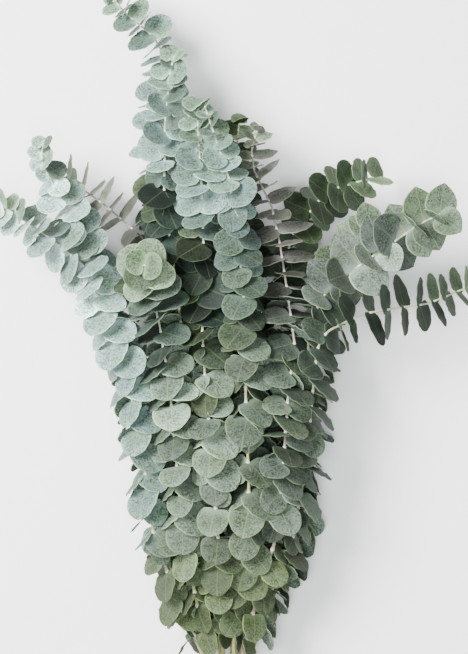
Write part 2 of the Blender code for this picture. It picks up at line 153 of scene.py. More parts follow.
# Each leaf's own change of turn, lean and roll, and of size, and the most that crowding adds to them
OWN_TURNS = (0.15, 0.12, 0.18)
OWN_SIZES = (0.88, 1.07)
CROWDED_TURNS = (0.65, 0.75, 0.60)
CROWDED_SHRINK = 0.45
SEEDS_PER_BRANCH = 1000


class Branch(NamedTuple):
    """One leafy stem. A route runs from the leafy body to the tip."""

    name: str
    low: tuple  # x and z where the body is narrow, at y = 100
    route: list
    blade: float  # size of a full-grown leaf of the free part
    tip: tuple  # the first leaf's share of that length, and how far below the tip they are full grown
    slender: float  # its length over its width
    spacing: float  # length between the pairs of the free part
    turn: float  # where round the stem the first pair stands, in degrees
    lean: tuple  # the leaves' angle from the stem's direction: low, middle, tip
    flat: float  # how far the pairs of the free part lie in one plane
    facing: float  # how far its blades roll towards where they look
    looks: tuple  # where that is


UP = (0.0, 0.0, 1.0)
DOWN = (0.0, 0.0, -1.0)

BRANCHES = [
    Branch("branch_left_front", (-69, 48), [
        (-88, 230, 58), (-99, 274, 60), (-112, 310, 61), (-125, 341, 61), (-139, 373, 62),
        (-153, 404, 64), (-165, 426, 66), (-174, 448, 68), (-172, 460, 70)],
        33, (0.40, 90), 0.86, 15.5, 40, (118, 108, 66), 0.35, 0.75, UP),
    Branch("branch_rosette", (-44, 86), [
        (-56, 230, 96), (-64, 285, 92), (-72, 318, 88), (-77, 339, 96), (-79, 347, 110), (-79, 349, 122)],
        36, (0.66, 22), 0.86, 13.4, 60, (120, 112, 66), 0, 0.2, UP),
    Branch("branch_centre_left", (-14, 92), [
        (-24, 230, 100), (-28, 278, 86), (-29, 322, 78), (-27, 372, 82), (-29, 420, 91),
        (-32, 462, 93), (-32, 490, 94)],
        30, (0.60, 60), 0.86, 13.4, 50, (120, 112, 60), 0.3, 0.7, UP),
    Branch("branch_centre", (13, 92), [
        (10, 230, 104), (10, 301, 104), (8, 332, 102), (4, 359, 100), (1, 395, 98),
        (-4, 425, 98), (-12, 450, 99), (-20, 473, 101), (-26, 491, 104)],
        28, (0.36, 85), 0.86, 13.4, 42, (120, 112, 62), 0.3, 0.75, UP),
    Branch("branch_slender_top", (36, 86), [
        (48, 230, 98), (54, 290, 88), (47, 330, 76), (42, 366, 70), (36, 398, 68),
        (24, 422, 68), (17, 440, 69), (16, 455, 70), (21, 472, 72)],
        27, (0.55, 90), 1.5, 13.4, 10, (118, 94, 72), 0, 0.4, UP),
    Branch("branch_right_low", (52, 66), [
        (70, 230, 84), (72, 262, 92), (80, 287, 98), (100, 299, 98), (120, 308, 94),
        (145, 310, 90), (160, 312, 88), (188, 320, 86), (208, 329, 86), (217, 334, 87)],
        25, (0.80, 80), 1.5, 16.0, 40, (116, 98, 60), 0.4, 0.45, UP),
    Branch("branch_right_broad", (50, 42), [
        (66, 230, 56), (66, 280, 70), (79, 322, 84), (107, 346, 92), (127, 360, 94),
        (148, 373, 94), (167, 387, 94), (184, 395, 95)],
        37, (0.80, 50), 0.9, 14.0, 55, (116, 100, 62), 0.7, 0.85, UP),
    Branch("branch_tall_right", (-22, 60), [
        (-40, 230, 66), (-48, 300, 70), (-60, 380, 72), (-64, 445, 72), (-62, 481, 71),
        (-61, 498, 71), (-58, 521, 72), (-54, 538, 74)],
        30, (0.55, 60), 0.86, 13.4, 45, (120, 114, 60), 0.3, 0.75, UP),
    Branch("branch_tall_left", (-16, 19), [
        (-34, 230, 21), (-48, 300, 30), (-67, 400, 46), (-68, 470, 50), (-66, 508, 52),
        (-63, 540, 56), (-74, 559, 58), (-90, 573, 58), (-101, 581, 58), (-110, 592, 58)],
        30, (0.55, 110), 0.95, 14.0, 15, (118, 112, 60), 0.2, 0.5, UP),
    Branch("branch_left_tip", (-70, 72), [
        (-90, 230, 86), (-108, 290, 86), (-124, 328, 84), (-138, 353, 82), (-157, 368, 80),
        (-179, 383, 77), (-197, 395, 75), (-209, 404, 74)],
        33, (0.58, 85), 0.88, 15.0, 45, (118, 110, 60), 0.4, 0.65, UP),
    Branch("branch_right_dark", (28, 18), [
        (40, 230, 19), (44, 290, 26), (46, 354, 40), (54, 380, 44), (69, 400, 48),
        (86, 417, 52), (104, 425, 54), (127, 430, 57)],
        30, (0.80, 50), 0.95, 13.4, 30, (116, 104, 66), 0.3, 0.7, UP),
    Branch("branch_left_slender", (-52, 18), [
        (-68, 230, 19), (-66, 300, 34), (-66, 346, 44), (-76, 368, 46), (-91, 383, 47),
        (-112, 401, 47), (-132, 416, 46), (-152, 430, 46)],
        25, (0.80, 60), 1.6, 14.5, 70, (118, 92, 66), 0.3, 0.35, UP),
    Branch("branch_centre_back", (14, 60), [
        (22, 230, 66), (20, 300, 64), (8, 360, 59), (0, 420, 56), (1, 455, 58),
        (5, 480, 62)],
        28, (0.50, 80), 0.9, 13.4, 5, (118, 108, 66), 0, 0.4, UP),
    Branch("branch_under_middle", (6, 18), [
        (6, 230, 19), (6, 300, 22), (2, 360, 26), (4, 412, 32)],
        31, (0.50, 80), 0.9, 13.4, 50, (118, 108, 60), 0, 0.3, DOWN),
    Branch("branch_right_middle", (60, 20), [
        (70, 230, 20), (76, 280, 30), (86, 322, 46), (99, 350, 60), (112, 370, 68), (124, 386, 74)],
        34, (0.66, 50), 0.9, 14.0, 25, (112, 104, 66), 0.7, 0.85, UP),
]


class Line:
    """A stem's centre line: straight steps between rings, with a direction and an untwisted frame."""

    def __init__(self, points):
        dense = smooth(points, SMOOTH_STEPS)
        self.rings = thinned(dense)
        self.lengths = [0.0]
        for a, b in zip(self.rings, self.rings[1:]):
            self.lengths.append(self.lengths[-1] + (b - a).length)
        self.length = self.lengths[-1]
        self.along = ring_directions(self.rings)
        self.across = [Vector(UP).cross(self.along[0]).normalized()]
        for a, b in zip(self.along, self.along[1:]):
            self.across.append((a.rotation_difference(b) @ self.across[-1]).normalized())

    def at(self, s):
        """The place, the direction and the two sideways directions (up, right) at length s."""
        i = 0
        while i < len(self.rings) - 2 and self.lengths[i + 1] < s:
            i += 1
        share = (s - self.lengths[i]) / (self.lengths[i + 1] - self.lengths[i])
        along = self.along[i].lerp(self.along[i + 1], share).normalized()
        right = self.across[i].lerp(self.across[i + 1], share)
        right = (right - along * right.dot(along)).normalized() * -1
        return self.rings[i].lerp(self.rings[i + 1], share), along, right.cross(along), right

    def radius(self, s):
        return STEM_RADIUS + (STEM_TIP_RADIUS - STEM_RADIUS) * min(1.0, s / self.length) ** STEM_TAPER


def smooth(points, steps):
    """Points along a smooth line through the given ones, which may be unevenly spaced."""
    gaps = [(b - a).length for a, b in zip(points, points[1:])]
    slopes = [(b - a) / gap for a, b, gap in zip(points, points[1:], gaps)]
    turns = [(a * after + b * before) / (before + after)
             for a, b, before, after in zip(slopes, slopes[1:], gaps, gaps[1:])]
    turns = [slopes[0] * 1.5 - turns[0] * 0.5, *turns, slopes[-1] * 1.5 - turns[-1] * 0.5]
    line = []
    for a, b, gap, start, end in zip(points, points[1:], gaps, turns, turns[1:]):
        for i in range(steps):
            t = i / steps
            line.append(a * (2 * t**3 - 3 * t**2 + 1) + start * (gap * (t**3 - 2 * t**2 + t))
                        + b * (3 * t**2 - 2 * t**3) + end * (gap * (t**3 - t**2)))
    return [*line, points[-1]]


def thinned(dense):
    """The points of a line where it has bent or run far enough to need a ring, and both at the tie.

    A chord misses its arc by an eighth of its bend times its length.
    """
    kept = [dense[0]]
    bend = run = 0.0
    for i, (a, b, c) in enumerate(zip(dense, dense[1:], dense[2:]), 1):
        bend += (b - a).angle(c - b, 0.0)
        run += (b - a).length
        if bend > STEM_BEND_STEP or bend * run > 8 * STEM_SAG or i in (SMOOTH_STEPS, 2 * SMOOTH_STEPS):
            kept.append(b)
            bend = run = 0.0
    return [*kept, dense[-1]]


def ring_directions(rings):
    """The line's direction at each ring: the mean of the steps before and after it."""
    steps = [(b - a).normalized() for a, b in zip(rings, rings[1:])]
    middle = [(a + b).normalized() for a, b in zip(steps, steps[1:])]
    return [steps[0], *middle, steps[-1]]


def bundled(starts, pitch):
    """Moves the places together until none is nearer to another than the pitch, as a tie does."""
    places = [place.copy() for place in starts]
    for turn in range(BUNDLE_TURNS):
        if turn < BUNDLE_PULLS:
            places = [place * BUNDLE_PULL for place in places]
        for i, a in enumerate(places):
            for b in places[i + 1:]:
                apart = b - a
                if apart.length < pitch:
                    push = apart.normalized() * (pitch - apart.length) / 2
                    a -= push
                    b += push
    return places


def stem_lines():
    """The centre line of each branch, from its cut end through the tie to its tip."""
    starts = []
    for branch in BRANCHES:
        across, up = branch.low[0] - BUNDLE_MIDDLE, branch.low[1] - BODY_MID_HEIGHT
        starts.append(Vector((across * BUNDLE_SHRINK, up * BUNDLE_SHRINK)))
    slots = bundled(starts, 2 * STEM_RADIUS + STEM_GAP)
    lowest = min(slot.y for slot in slots) * END_SPREAD
    end_height = STEM_RADIUS - lowest + CUT_END_STAGGER * TIE_SLOPE
    stagger = random.Random(STAGGER_SEED)
    lines = []
    for branch, slot in zip(BRANCHES, slots):
        late = stagger.uniform(-1, 1) * CUT_END_STAGGER
        low_x, low_z = branch.low
        neck_z = NECK_HEIGHT + (low_z - BODY_MID_HEIGHT) * NECK_SPREAD
        points = [
            (slot.x * END_SPREAD, CUT_END_Y + late, end_height + slot.y * END_SPREAD + late * TIE_SLOPE),
            (slot.x, TIE_Y - TIE_HOLD, TIE_HEIGHT - TIE_HOLD * TIE_SLOPE + slot.y),
            (slot.x, TIE_Y, TIE_HEIGHT + slot.y),
            (low_x * NECK_SPREAD + NECK_SHIFT, NECK_Y, neck_z),
            (low_x, BODY_LOW_Y, low_z),
            *branch.route,
        ]
        lines.append(Line([Vector(p) - ORIGIN for p in points]))
    return lines, slots


class Leaf(NamedTuple):
    """Where one leaf stands and how: all that its blade is made from."""

    root: Vector
    along: Vector
    face: Vector
    length: float
    width: float
    arch: float  # how far the tip rises towards the upper face, over the length


def outward(place):
    """From the middle of the body's cross-section to a place, as a direction: out of the bunch."""
    y = place.y + ORIGIN.y
    middle_x = BODY_MIDDLE.x - ORIGIN.x
    middle_z = BODY_MID_HEIGHT + BODY_RISE * min(1.0, max(0.0, (y - BODY_LOW_Y) / BODY_RISE_LENGTH))
    out = Vector(((place.x - middle_x) / BODY_HALF_WIDTH, 0.0, (place.z - middle_z) / BODY_HALF_HEIGHT))
    return out.normalized() if out.length > 1e-6 else Vector(UP)


def freedom(place):
    """0 where a place is in the bunch's body, 1 where the branches stand free of each other."""
    reach = ((place + ORIGIN - BODY_MIDDLE) * Vector((1.0, 1.0, 0.0))).length
    above = min(1.0, max(0.0, (place + ORIGIN - BODY_MIDDLE).y / FREE_RISE))
    return above * min(1.0, max(0.0, (reach - BODY_REACH) / (FREE_REACH - BODY_REACH)))


def pair_places(branch, line):
    """Each pair's length along the stem, share of the leafy part and share of full size, from the tip."""
    first = line.length - FIRST_PAIR
    last = BARE_ABOVE_TIE + (TIE_Y - CUT_END_Y)
    places = []
    s = first
    while s > last:
        share = (first - s) / (first - last)
        young, grown_at = branch.tip
        size = young + (1 - young) * min(1.0, (first - s) / grown_at) ** SIZE_CURVE
        size *= 1.0 - BASE_SHRINK * max(0.0, share - BASE_FROM) / (1 - BASE_FROM)
        places.append((s, share, size))
        spacing = NODE_SPACING + (branch.spacing - NODE_SPACING) * freedom(line.at(s)[0])
        s -= spacing * (TIP_SPACING + (1 - TIP_SPACING) * min(1.0, (first - s) / SPACING_AT) ** SPACING_CURVE)
    return places


def lean_at(branch, share):
    """The leaves' angle from the stem's direction, at a share of the leafy part below the tip."""
    low, middle, tip = branch.lean
    if share < LEAN_MIDDLE:
        return math.radians(tip + (middle - tip) * (share / LEAN_MIDDLE) ** LEAN_CURVE)
    return math.radians(middle + (low - middle) * (share - LEAN_MIDDLE) / LEAN_REST)


def leaf_at(branch, line, pair, side, nudge):
    """The leaf on one side of a pair, moved from its own place by nudge."""
    number, (s, share, size) = pair
    turned, leaned, rolled, shrunk = nudge
    place, along, up, right = line.at(s)
    turn = math.radians(branch.turn) + number * PAIR_TURN + side * math.pi + turned
    free = freedom(place)
    looks = outward(place).lerp(Vector(branch.looks), free).normalized()
    spoke = up * math.cos(turn) + right * math.sin(turn)
    spoke -= looks * (spoke.dot(looks) * branch.flat * free)
    spoke = (spoke - along * spoke.dot(along)).normalized()
    droop = BODY_DROOP + (FREE_DROOP - BODY_DROOP) * free
    droop *= max(0.0, spoke.z)
    droop *= min(1.0, share / DROOP_SHARE)
    lean = lean_at(branch, share) + droop + leaned
    stretch = along * math.cos(lean) + spoke * math.sin(lean)
    face = along * math.sin(lean) - spoke * math.cos(lean)

    facing = BODY_FACING + (branch.facing - BODY_FACING) * free
    across = looks - stretch * looks.dot(stretch)
    if across.length > 1e-3:
        roll = face.angle(across)
        roll = math.copysign(min(roll, math.pi / 2), face.cross(across).dot(stretch))
        rolled += roll * facing * across.length
    face = Quaternion(stretch, rolled) @ face
    full = BODY_BLADE + (branch.blade - BODY_BLADE) * free
    slender = BODY_SLENDER + (branch.slender - BODY_SLENDER) * free
    sunk = max(LEAST_ROOT, ROOT_SHARE * line.radius(s) - ROOT_DEPTH)
    arch = YOUNG_ARCH + (OLD_ARCH - YOUNG_ARCH) * min(1.0, share / OLD_ARCH_AT)
    return Leaf(place + spoke * sunk, stretch, face, full * size * shrunk * slender**0.5,
                full * size * shrunk / slender**0.5, arch)


# The outline of a blade: share of its length, and of its half width, from root to tip
OUTLINE = ((0.12, 0.70), (0.42, 1.0), (0.78, 0.66))
SMALL_OUTLINE = ((0.22, 0.90), (0.68, 0.82))
SMALL = 29.5


def blade(leaf, lowest, margin=0.0):
    """Points and triangles of a blade's middle surface, bent flat where it would pass the table."""
    wide = leaf.face.cross(leaf.along)
    length = leaf.length + margin
    half = leaf.width / 2 + margin
    outline = OUTLINE if leaf.length > SMALL else SMALL_OUTLINE
    rows = [(0.0, 0.0), *outline, (1.0, 0.0), *((u, -v) for u, v in reversed(outline))]
    points = []
    for u, v in rows:
        rise = leaf.face * (leaf.arch * u * u * length)
        points.append(leaf.root + leaf.along * (u * length) + wide * (v * half) + rise)
    level = Vector((leaf.along.x, leaf.along.y, 0.0))
    slide = (1 - level.length) / max(LEAST_DROP, -leaf.along.z)
    for point in points:
        depth = max(0.0, lowest - point.z)
        point += level.normalized() * (depth * slide) + Vector(UP) * depth
    last = len(points) - 1
    triangles = [(0, 1, last)]
    for i in range(1, len(outline)):
        triangles += [(i, i + 1, last - i), (i, last - i, last - i + 1)]
    triangles.append((len(outline), len(outline) + 1, len(outline) + 2))
    return points, triangles


def thick(points, triangles, offset):
    """A closed blade, for the crossing test: the surface moved both ways, and walls round its edge."""
    count = len(points)
    both = [p + offset for p in points] + [p - offset for p in points]
    walls = []
    for i in range(count):
        j = (i + 1) % count
        walls += [(i, j, i + count), (j, j + count, i + count)]
    return both, triangles + [(a + count, b + count, c + count) for a, b, c in triangles] + walls


class Space:
    """What already fills space: stems and blades, each with a ball round it and a triangle tree."""

    def __init__(self):
        self.taken = []

    def measured(self, points, triangles):
        """The middle and the radius of the ball round a shape, and its triangle tree."""
        middle = sum(points, Vector()) / len(points)
        radius = max((p - middle).length for p in points)
        return middle, radius, BVHTree.FromPolygons(points, triangles, all_triangles=True)

    def add(self, points, triangles, owner):
        self.taken.append((*self.measured(points, triangles), owner))

    def free(self, points, triangles, friends):
        """Whether the shape crosses nothing but what belongs to its friends."""
        middle, radius, tree = self.measured(points, triangles)
        near = (other_tree for other, reach, other_tree, owner in self.taken
                if owner not in friends and (other - middle).length < reach + radius)
        return not any(tree.overlap(other_tree) for other_tree in near)


def tube_shape(line, margin):
    """Points and triangles of short lengths of a stem, for the crossing test."""
    shapes = []
    for i, (a, b) in enumerate(zip(line.rings, line.rings[1:])):
        points = []
        for ring, place in ((i, a), (i + 1, b)):
            along = line.along[ring]
            side = line.across[i] - along * line.across[i].dot(along)
            side.normalize()
            radius = line.radius(line.lengths[ring]) * TEST_ROOM + margin
            for k in range(TEST_SIDES):
                angle = math.radians(360 / TEST_SIDES * k)
                points.append(place + Quaternion(along, angle) @ side * radius)
        triangles = []
        for k in range(TEST_SIDES):
            j = (k + 1) % TEST_SIDES
            triangles += [(k, j, j + TEST_SIDES), (k, j + TEST_SIDES, k + TEST_SIDES)]
        shapes.append((points, triangles))
    return shapes


def nudges(seed, tries):
    """The leaf's own place first, then places further and further from it."""
    draw = random.Random(seed)
    own = [draw.gauss(0, spread) for spread in OWN_TURNS]
    size = draw.uniform(*OWN_SIZES)
    for i in range(tries):
        reach = i / tries
        turns = [start + draw.uniform(-most, most) * reach for start, most in zip(own, CROWDED_TURNS)]
        yield (*turns, size * (1 - draw.uniform(0.0, CROWDED_SHRINK) * reach))


def is_solid(number):
    """Whether a pair, counted from the tip, is one of those that the solids hold."""
    return number == 0 or number % SOLID_EVERY == 2


def fill_with_stems(space, lines):
    for index, line in enumerate(lines):
        for points, triangles in tube_shape(line, CLEARANCE):
            space.add(points, triangles, ("stem", index))


def grow(space, lines, chosen, half_thickness, tries):
    """The chosen pairs' leaves of each branch, each bent clear of what is there already, or left out."""
    grown = [[] for _ in lines]
    for index, (branch, line) in enumerate(zip(BRANCHES, lines)):
        for number, pair in enumerate(pair_places(branch, line)):
            if not chosen(number):
                continue
            for side in (0, 1):
                seed = index * SEEDS_PER_BRANCH + number * 2 + side
                leaf = free_leaf(
                    space, branch, line, (number, pair), side, seed, index, half_thickness, tries)
                if leaf:
                    grown[index].append((leaf, pair[1], seed))
    return grown


def free_leaf(space, branch, line, pair, side, seed, index, half_thickness, tries):
    """The first of the leaf's places where its blade crosses nothing, or None."""
    owner = (index, pair[0])
    for nudge in nudges(seed, tries):
        leaf = leaf_at(branch, line, pair, side, nudge)
        if (leaf.root + leaf.along * leaf.length).z < -DEEPEST_BEND:
            continue
        points, triangles = blade(leaf, BLADE_THICKNESS / 2, 2 * CLEARANCE)
        points, triangles = thick(points, triangles, leaf.face * half_thickness)
        if space.free(points, triangles, (owner, ("stem", index))):
            space.add(points, triangles, owner)
            return leaf
    return None


def tie_outline(slots):
    """A closed loop round the bundled stems: the corners of the twine's centre line, in x and z."""
    step = 2 * math.pi / TWINE_CORNERS
    sides = [Vector((math.cos(i * step), math.sin(i * step))) for i in range(TWINE_CORNERS)]
    reach = [max(slot.dot(side) for slot in slots) + STEM_RADIUS + STEM_GAP + TWINE_RADIUS for side in sides]
    corners = []
    for side, near, far in zip(sides, reach, reach[1:] + reach[:1]):
        along = Vector((-side.y, side.x))
        corners.append(side * near + along * ((far - near * math.cos(step)) / math.sin(step)))
    return corners


# The fine blade: rows from root to tip, and columns across, which crowd a little towards its edges
BLADE_ROWS = (0.0, 0.05, 0.13, 0.25, 0.40, 0.55, 0.70, 0.82, 0.91, 0.965, 1.0)
BLADE_COLUMNS = 9
EDGE_CROWDING = 0.94
FINE_THICKNESS = 0.42
FINE_TRIES = 240
TABLE_GAP = 0.15

# How wide a pointed blade and a blunt one are at these shares of their length
WIDTHS_AT = (0.0, 0.02, 0.06, 0.13, 0.24, 0.36, 0.50, 0.64, 0.76, 0.86, 0.93, 0.975, 1.0)
POINTED_WIDTHS = (0.28, 0.50, 0.70, 0.86, 0.97, 1.0, 0.96, 0.83, 0.65, 0.44, 0.25, 0.10, 0.015)
BLUNT_WIDTHS = (0.30, 0.54, 0.75, 0.90, 0.99, 1.0, 0.99, 0.93, 0.82, 0.66, 0.48, 0.28, 0.05)
BLUNT = 0.85
BLUNT_SPREAD = (0.7, 1.15)

# Branches that go together: slender leaves on brown stems, pointed leaves, and the pale left ones
SLENDER_BRANCHES = ("branch_slender_top", "branch_left_slender")
POINTED_BRANCHES = ("branch_right_broad", "branch_right_middle", *SLENDER_BRANCHES)
LEFT_BRANCHES = ("branch_left_front", "branch_left_tip")

# A blade's lobes beside the root, its wavy edge, its cup and its twist
LOBES = 0.154
WAVE = 0.035
WAVE_STARTS = (0.0, 6.28)
WAVES = (2.2, 3.6)
CUP = 0.10
CUP_SPREAD = (0.3, 1.3)
OLD_CUPS = (-0.7, 0.6, 0.9)
TWIST = 0.10

# The fine stems: rings, and the swelling at each pair of leaves
STEM_SIDES = 10
STEM_STEP = 3.0
STEM_SHARE = 0.96
STEM_SHARP = math.radians(50)
TIP_CAP = 0.2
NODE_SWELL = 0.35
SWELL_LENGTH = 1.3
SWELL_RING = 0.9

# The twine's three strands, its knot and its frayed ends
STRAND_SHARE = 0.56
STRAND_OFFSET = 0.47
TWIST_PITCH = 4.6
TWINE_STEP = 0.6
KNOT_POINTS = 90
KNOT_BOW = (0.85, 0.70, 0.95)
KNOT_TWINE = 0.95
TAIL_TWINE = 0.9
TAIL_STEPS = 8
FIBRES = 16
FIBRE_RADIUS = 0.11
FIBRE_STEPS = 4
FIBRE_REACH = (1.6, 3.4)
FIBRE_DRIFT = 0.45
FIBRE_THINNING = 0.6
FRAY_SEED = 12
FRAY_DEPTH = 0.8
FRAY_SPREAD = 0.5

# Leaf colours, linear
SAGE = (0.062, 0.081, 0.061)
SILVER = (0.092, 0.136, 0.127)
# A pale frosted bloom, made paler still as painted light where the left branches face the lamp
FROST_AND_LIGHT = (0.212, 0.296, 0.284)
GREY = (0.060, 0.073, 0.063)
# A darker, less bloomed green that also stands in as painted shade: for leaves at the back, on the side away
# from the light and on undersides
DEEP_GREEN_AND_SHADE = (0.010, 0.018, 0.010)
# A near-black green, used as painted shade in the bunch's hollow
SHADE = (0.005, 0.009, 0.007)
DUSK = (0.062, 0.060, 0.055)
UNDER = (0.080, 0.108, 0.086)
MOSS = (0.030, 0.040, 0.015)
FRESH = (0.105, 0.155, 0.080)

# The tones of upper sides and undersides where these branches stand free of the body
OWN_TONES = (
    (SILVER, UNDER, ("branch_centre_left", "branch_centre", "branch_tall_left", "branch_tall_right")),
    (GREY, UNDER, ("branch_right_broad", "branch_right_middle", "branch_under_middle")),
    (SAGE, UNDER, ("branch_rosette",)),
    # Painted light and shade: the left branches are painted paler, partly for the light that falls on them,
    # and their undersides are painted dark as shade
    (FROST_AND_LIGHT, DEEP_GREEN_AND_SHADE, LEFT_BRANCHES),
    # Painted shade: these branches at the back and right are painted darker, partly for lying in shade
    (DEEP_GREEN_AND_SHADE, DEEP_GREEN_AND_SHADE, ("branch_right_low", "branch_right_dark", "branch_centre_back")),
    (DUSK, DUSK, SLENDER_BRANCHES),
)
LOOKS = {name: (upper, under) for upper, under, names in OWN_TONES for name in names}

# The body's tones, laid over sage green one after the other: the colour, how much of it at most, which
# way across and along the bunch it grows, and from where to where, in millimetres
BODY_TONES = (
    (SILVER, 0.95, (-1, 0), (52, 88)),
    (GREY, 0.80, (1, 0), (15, 50)),
    # Painted shade: the body's right side, away from the light, is darkened towards the deep green, partly
    # for its own colour
    (DEEP_GREEN_AND_SHADE, 0.64, (1, 0), (30, 62)),
    (MOSS, 0.80, (0, -1), (-145, -65)),
)

# The left branches' leaves that point up and right are in shade: which way, and how much
SHADED_WAY = Vector((0.6, 0.8, 0.0))
SHADED = (0.040, 0.056, 0.044)
SHADED_SHARE = 0.80
SHADED_FROM = (0.2, 0.75)

# Old leaves are mossy, the youngest are fresh green, and each is a little lighter or darker
MOSSY = (0.05, 0.25)
MOST_MOSS = 0.75
OLD_MOSS = 0.20
OLD_FROM = (0.62, 1.0)
YOUNG_FRESH = 0.35
YOUNG_TO = (0.0, 0.12)
UPPER_SPREAD = 0.35
UNDER_SPREAD = 0.2
TONE_SEED = 77

# How much darker a leaf's middle is than its rim: painted shade in the cup's hollow and painted light on its
# rim
PAINTED_RIM_LIGHT = 1.14
PAINTED_MIDDLE_SHADE = 0.78

# Between these heights up the bunch a branch's leaves are painted dark, as painted shade in the hollow where
# others hide them
PAINTED_SHADE_HEIGHTS = {
    "branch_tall_left": (290, 440),
    "branch_tall_right": (290, 435),
    "branch_centre_left": (270, 392),
    "branch_centre": (280, 400),
    "branch_centre_back": (280, 430),
    "branch_rosette": (262, 320),
}
PAINTED_SHADE_EDGE = 18.0
PAINTED_SHADE_SHARE = {"branch_centre": 0.72, "branch_rosette": 0.7}


def blade_template():
    """The blade's grid as arrays: share of length, share across, both half widths, and quads."""
    u = np.array(BLADE_ROWS)
    v = np.linspace(-1, 1, BLADE_COLUMNS)
    across = np.sin(v * math.pi / 2 * EDGE_CROWDING) / math.sin(math.pi / 2 * EDGE_CROWDING)
    uu, vv = np.meshgrid(u, across, indexing="ij")
    pointed = np.interp(uu.ravel(), WIDTHS_AT, POINTED_WIDTHS)
    blunt = np.interp(uu.ravel(), WIDTHS_AT, BLUNT_WIDTHS)
    quads = []
    for i in range(len(u) - 1):
        for j in range(BLADE_COLUMNS - 1):
            a = i * BLADE_COLUMNS + j
            quads.append((a, a + BLADE_COLUMNS, a + BLADE_COLUMNS + 1, a + 1))
    return uu.ravel(), vv.ravel(), pointed, blunt, np.array(quads)


U, V, POINTED_HALF, BLUNT_HALF, QUADS = blade_template()


def fine_blade(branch, leaf, seed):
    """The points of one fine blade's middle surface, in millimetres, and its shares across."""
    draw = random.Random(seed)
    free = freedom(leaf.root) if branch.name in POINTED_BRANCHES else 0.0
    blunt = BLUNT * (1 - free) * draw.uniform(*BLUNT_SPREAD)
    shares = V * (POINTED_HALF + (BLUNT_HALF - POINTED_HALF) * blunt)
    half = leaf.width / 2
    phase, waves = draw.uniform(*WAVE_STARTS), draw.uniform(*WAVES)
    cup = CUP * draw.uniform(*CUP_SPREAD) * (1 if leaf.arch > 0 else draw.choice(OLD_CUPS))
    twist = draw.uniform(-TWIST, TWIST)
    y = leaf.length * (U - LOBES * np.abs(shares) ** 1.5 * (1 - U) ** 6)
    x = half * shares
    z = leaf.arch * U**2 * leaf.length + cup * half * shares**2
    z += WAVE * half * np.abs(V) ** 3 * np.sin(phase + waves * 2 * math.pi * U + np.sign(V))
    z += twist * x * U
    along, face = np.array(leaf.along), np.array(leaf.face)
    wide = np.cross(face, along)
    points = np.array(leaf.root) + y[:, None] * along + x[:, None] * wide + z[:, None] * face
    level = np.array((leaf.along.x, leaf.along.y, 0.0))
    slide = (1 - np.linalg.norm(level)) / max(LEAST_DROP, -leaf.along.z)
    depth = np.maximum(0.0, FINE_THICKNESS / 2 + TABLE_GAP - points[:, 2])
    points += depth[:, None] * (level / max(1e-6, np.linalg.norm(level)) * slide + np.array(UP))
    return points, shares


def step(value, low, high):
    """0 below low, 1 above high, and smooth between them."""
    share = min(1.0, max(0.0, (value - low) / (high - low)))
    return share * share * (3 - 2 * share)


def blend(a, b, share):
    return np.array(a) * (1 - share) + np.array(b) * share


def leaf_tone(branch, leaf, seed, share):
    """The upper side's colour of one leaf, and its underside's."""
    draw = random.Random(seed + TONE_SEED)
    free = freedom(leaf.root)
    x, y = leaf.root.x + ORIGIN.x, leaf.root.y + ORIGIN.y
    body = SAGE
    for colour, most, (across, along), (start, end) in BODY_TONES:
        body = blend(body, colour, most * step(across * x + along * y, start, end))
    upper, under = (blend(base, own, free) for base, own in zip((body, UNDER), LOOKS[branch.name]))
    # Painted shade: the leaves between the listed heights are darkened towards SHADE
    if branch.name in PAINTED_SHADE_HEIGHTS:
        low, high = PAINTED_SHADE_HEIGHTS[branch.name]
        painted_shade = step(y, low - PAINTED_SHADE_EDGE, low + PAINTED_SHADE_EDGE) * (1 - step(y, high - PAINTED_SHADE_EDGE, high + PAINTED_SHADE_EDGE))
        upper = blend(upper, SHADE, painted_shade * PAINTED_SHADE_SHARE.get(branch.name, 1.0))
    if branch.name in LEFT_BRANCHES:
        upper = blend(upper, SHADED, SHADED_SHARE * free * step(leaf.along.dot(SHADED_WAY), *SHADED_FROM))
    mossy = max(0.0, draw.gauss(*MOSSY)) + OLD_MOSS * step(share, *OLD_FROM)
    upper = blend(upper, MOSS, min(MOST_MOSS, mossy))
    upper = blend(upper, FRESH, YOUNG_FRESH * (1 - step(share, *YOUNG_TO)))
    upper *= math.exp(draw.gauss(0.0, UPPER_SPREAD))
    return upper, under * math.exp(draw.gauss(0.0, UNDER_SPREAD))


def mesh_from_arrays(name, points, quads):
    mesh = bpy.data.meshes.new(name)
    mesh.from_pydata((points * MM).tolist(), [], quads.tolist())
    mesh.validate()
    mesh.shade_smooth()
    return mesh


def set_attribute(mesh, name, kind, values):
    layer = mesh.attributes.new(name, kind, "POINT")
    field = "color" if kind == "FLOAT_COLOR" else "vector"
    layer.data.foreach_set(field, np.asarray(values, np.float32).ravel())


def link(obj):
    bpy.context.scene.collection.objects.link(obj)
    return obj


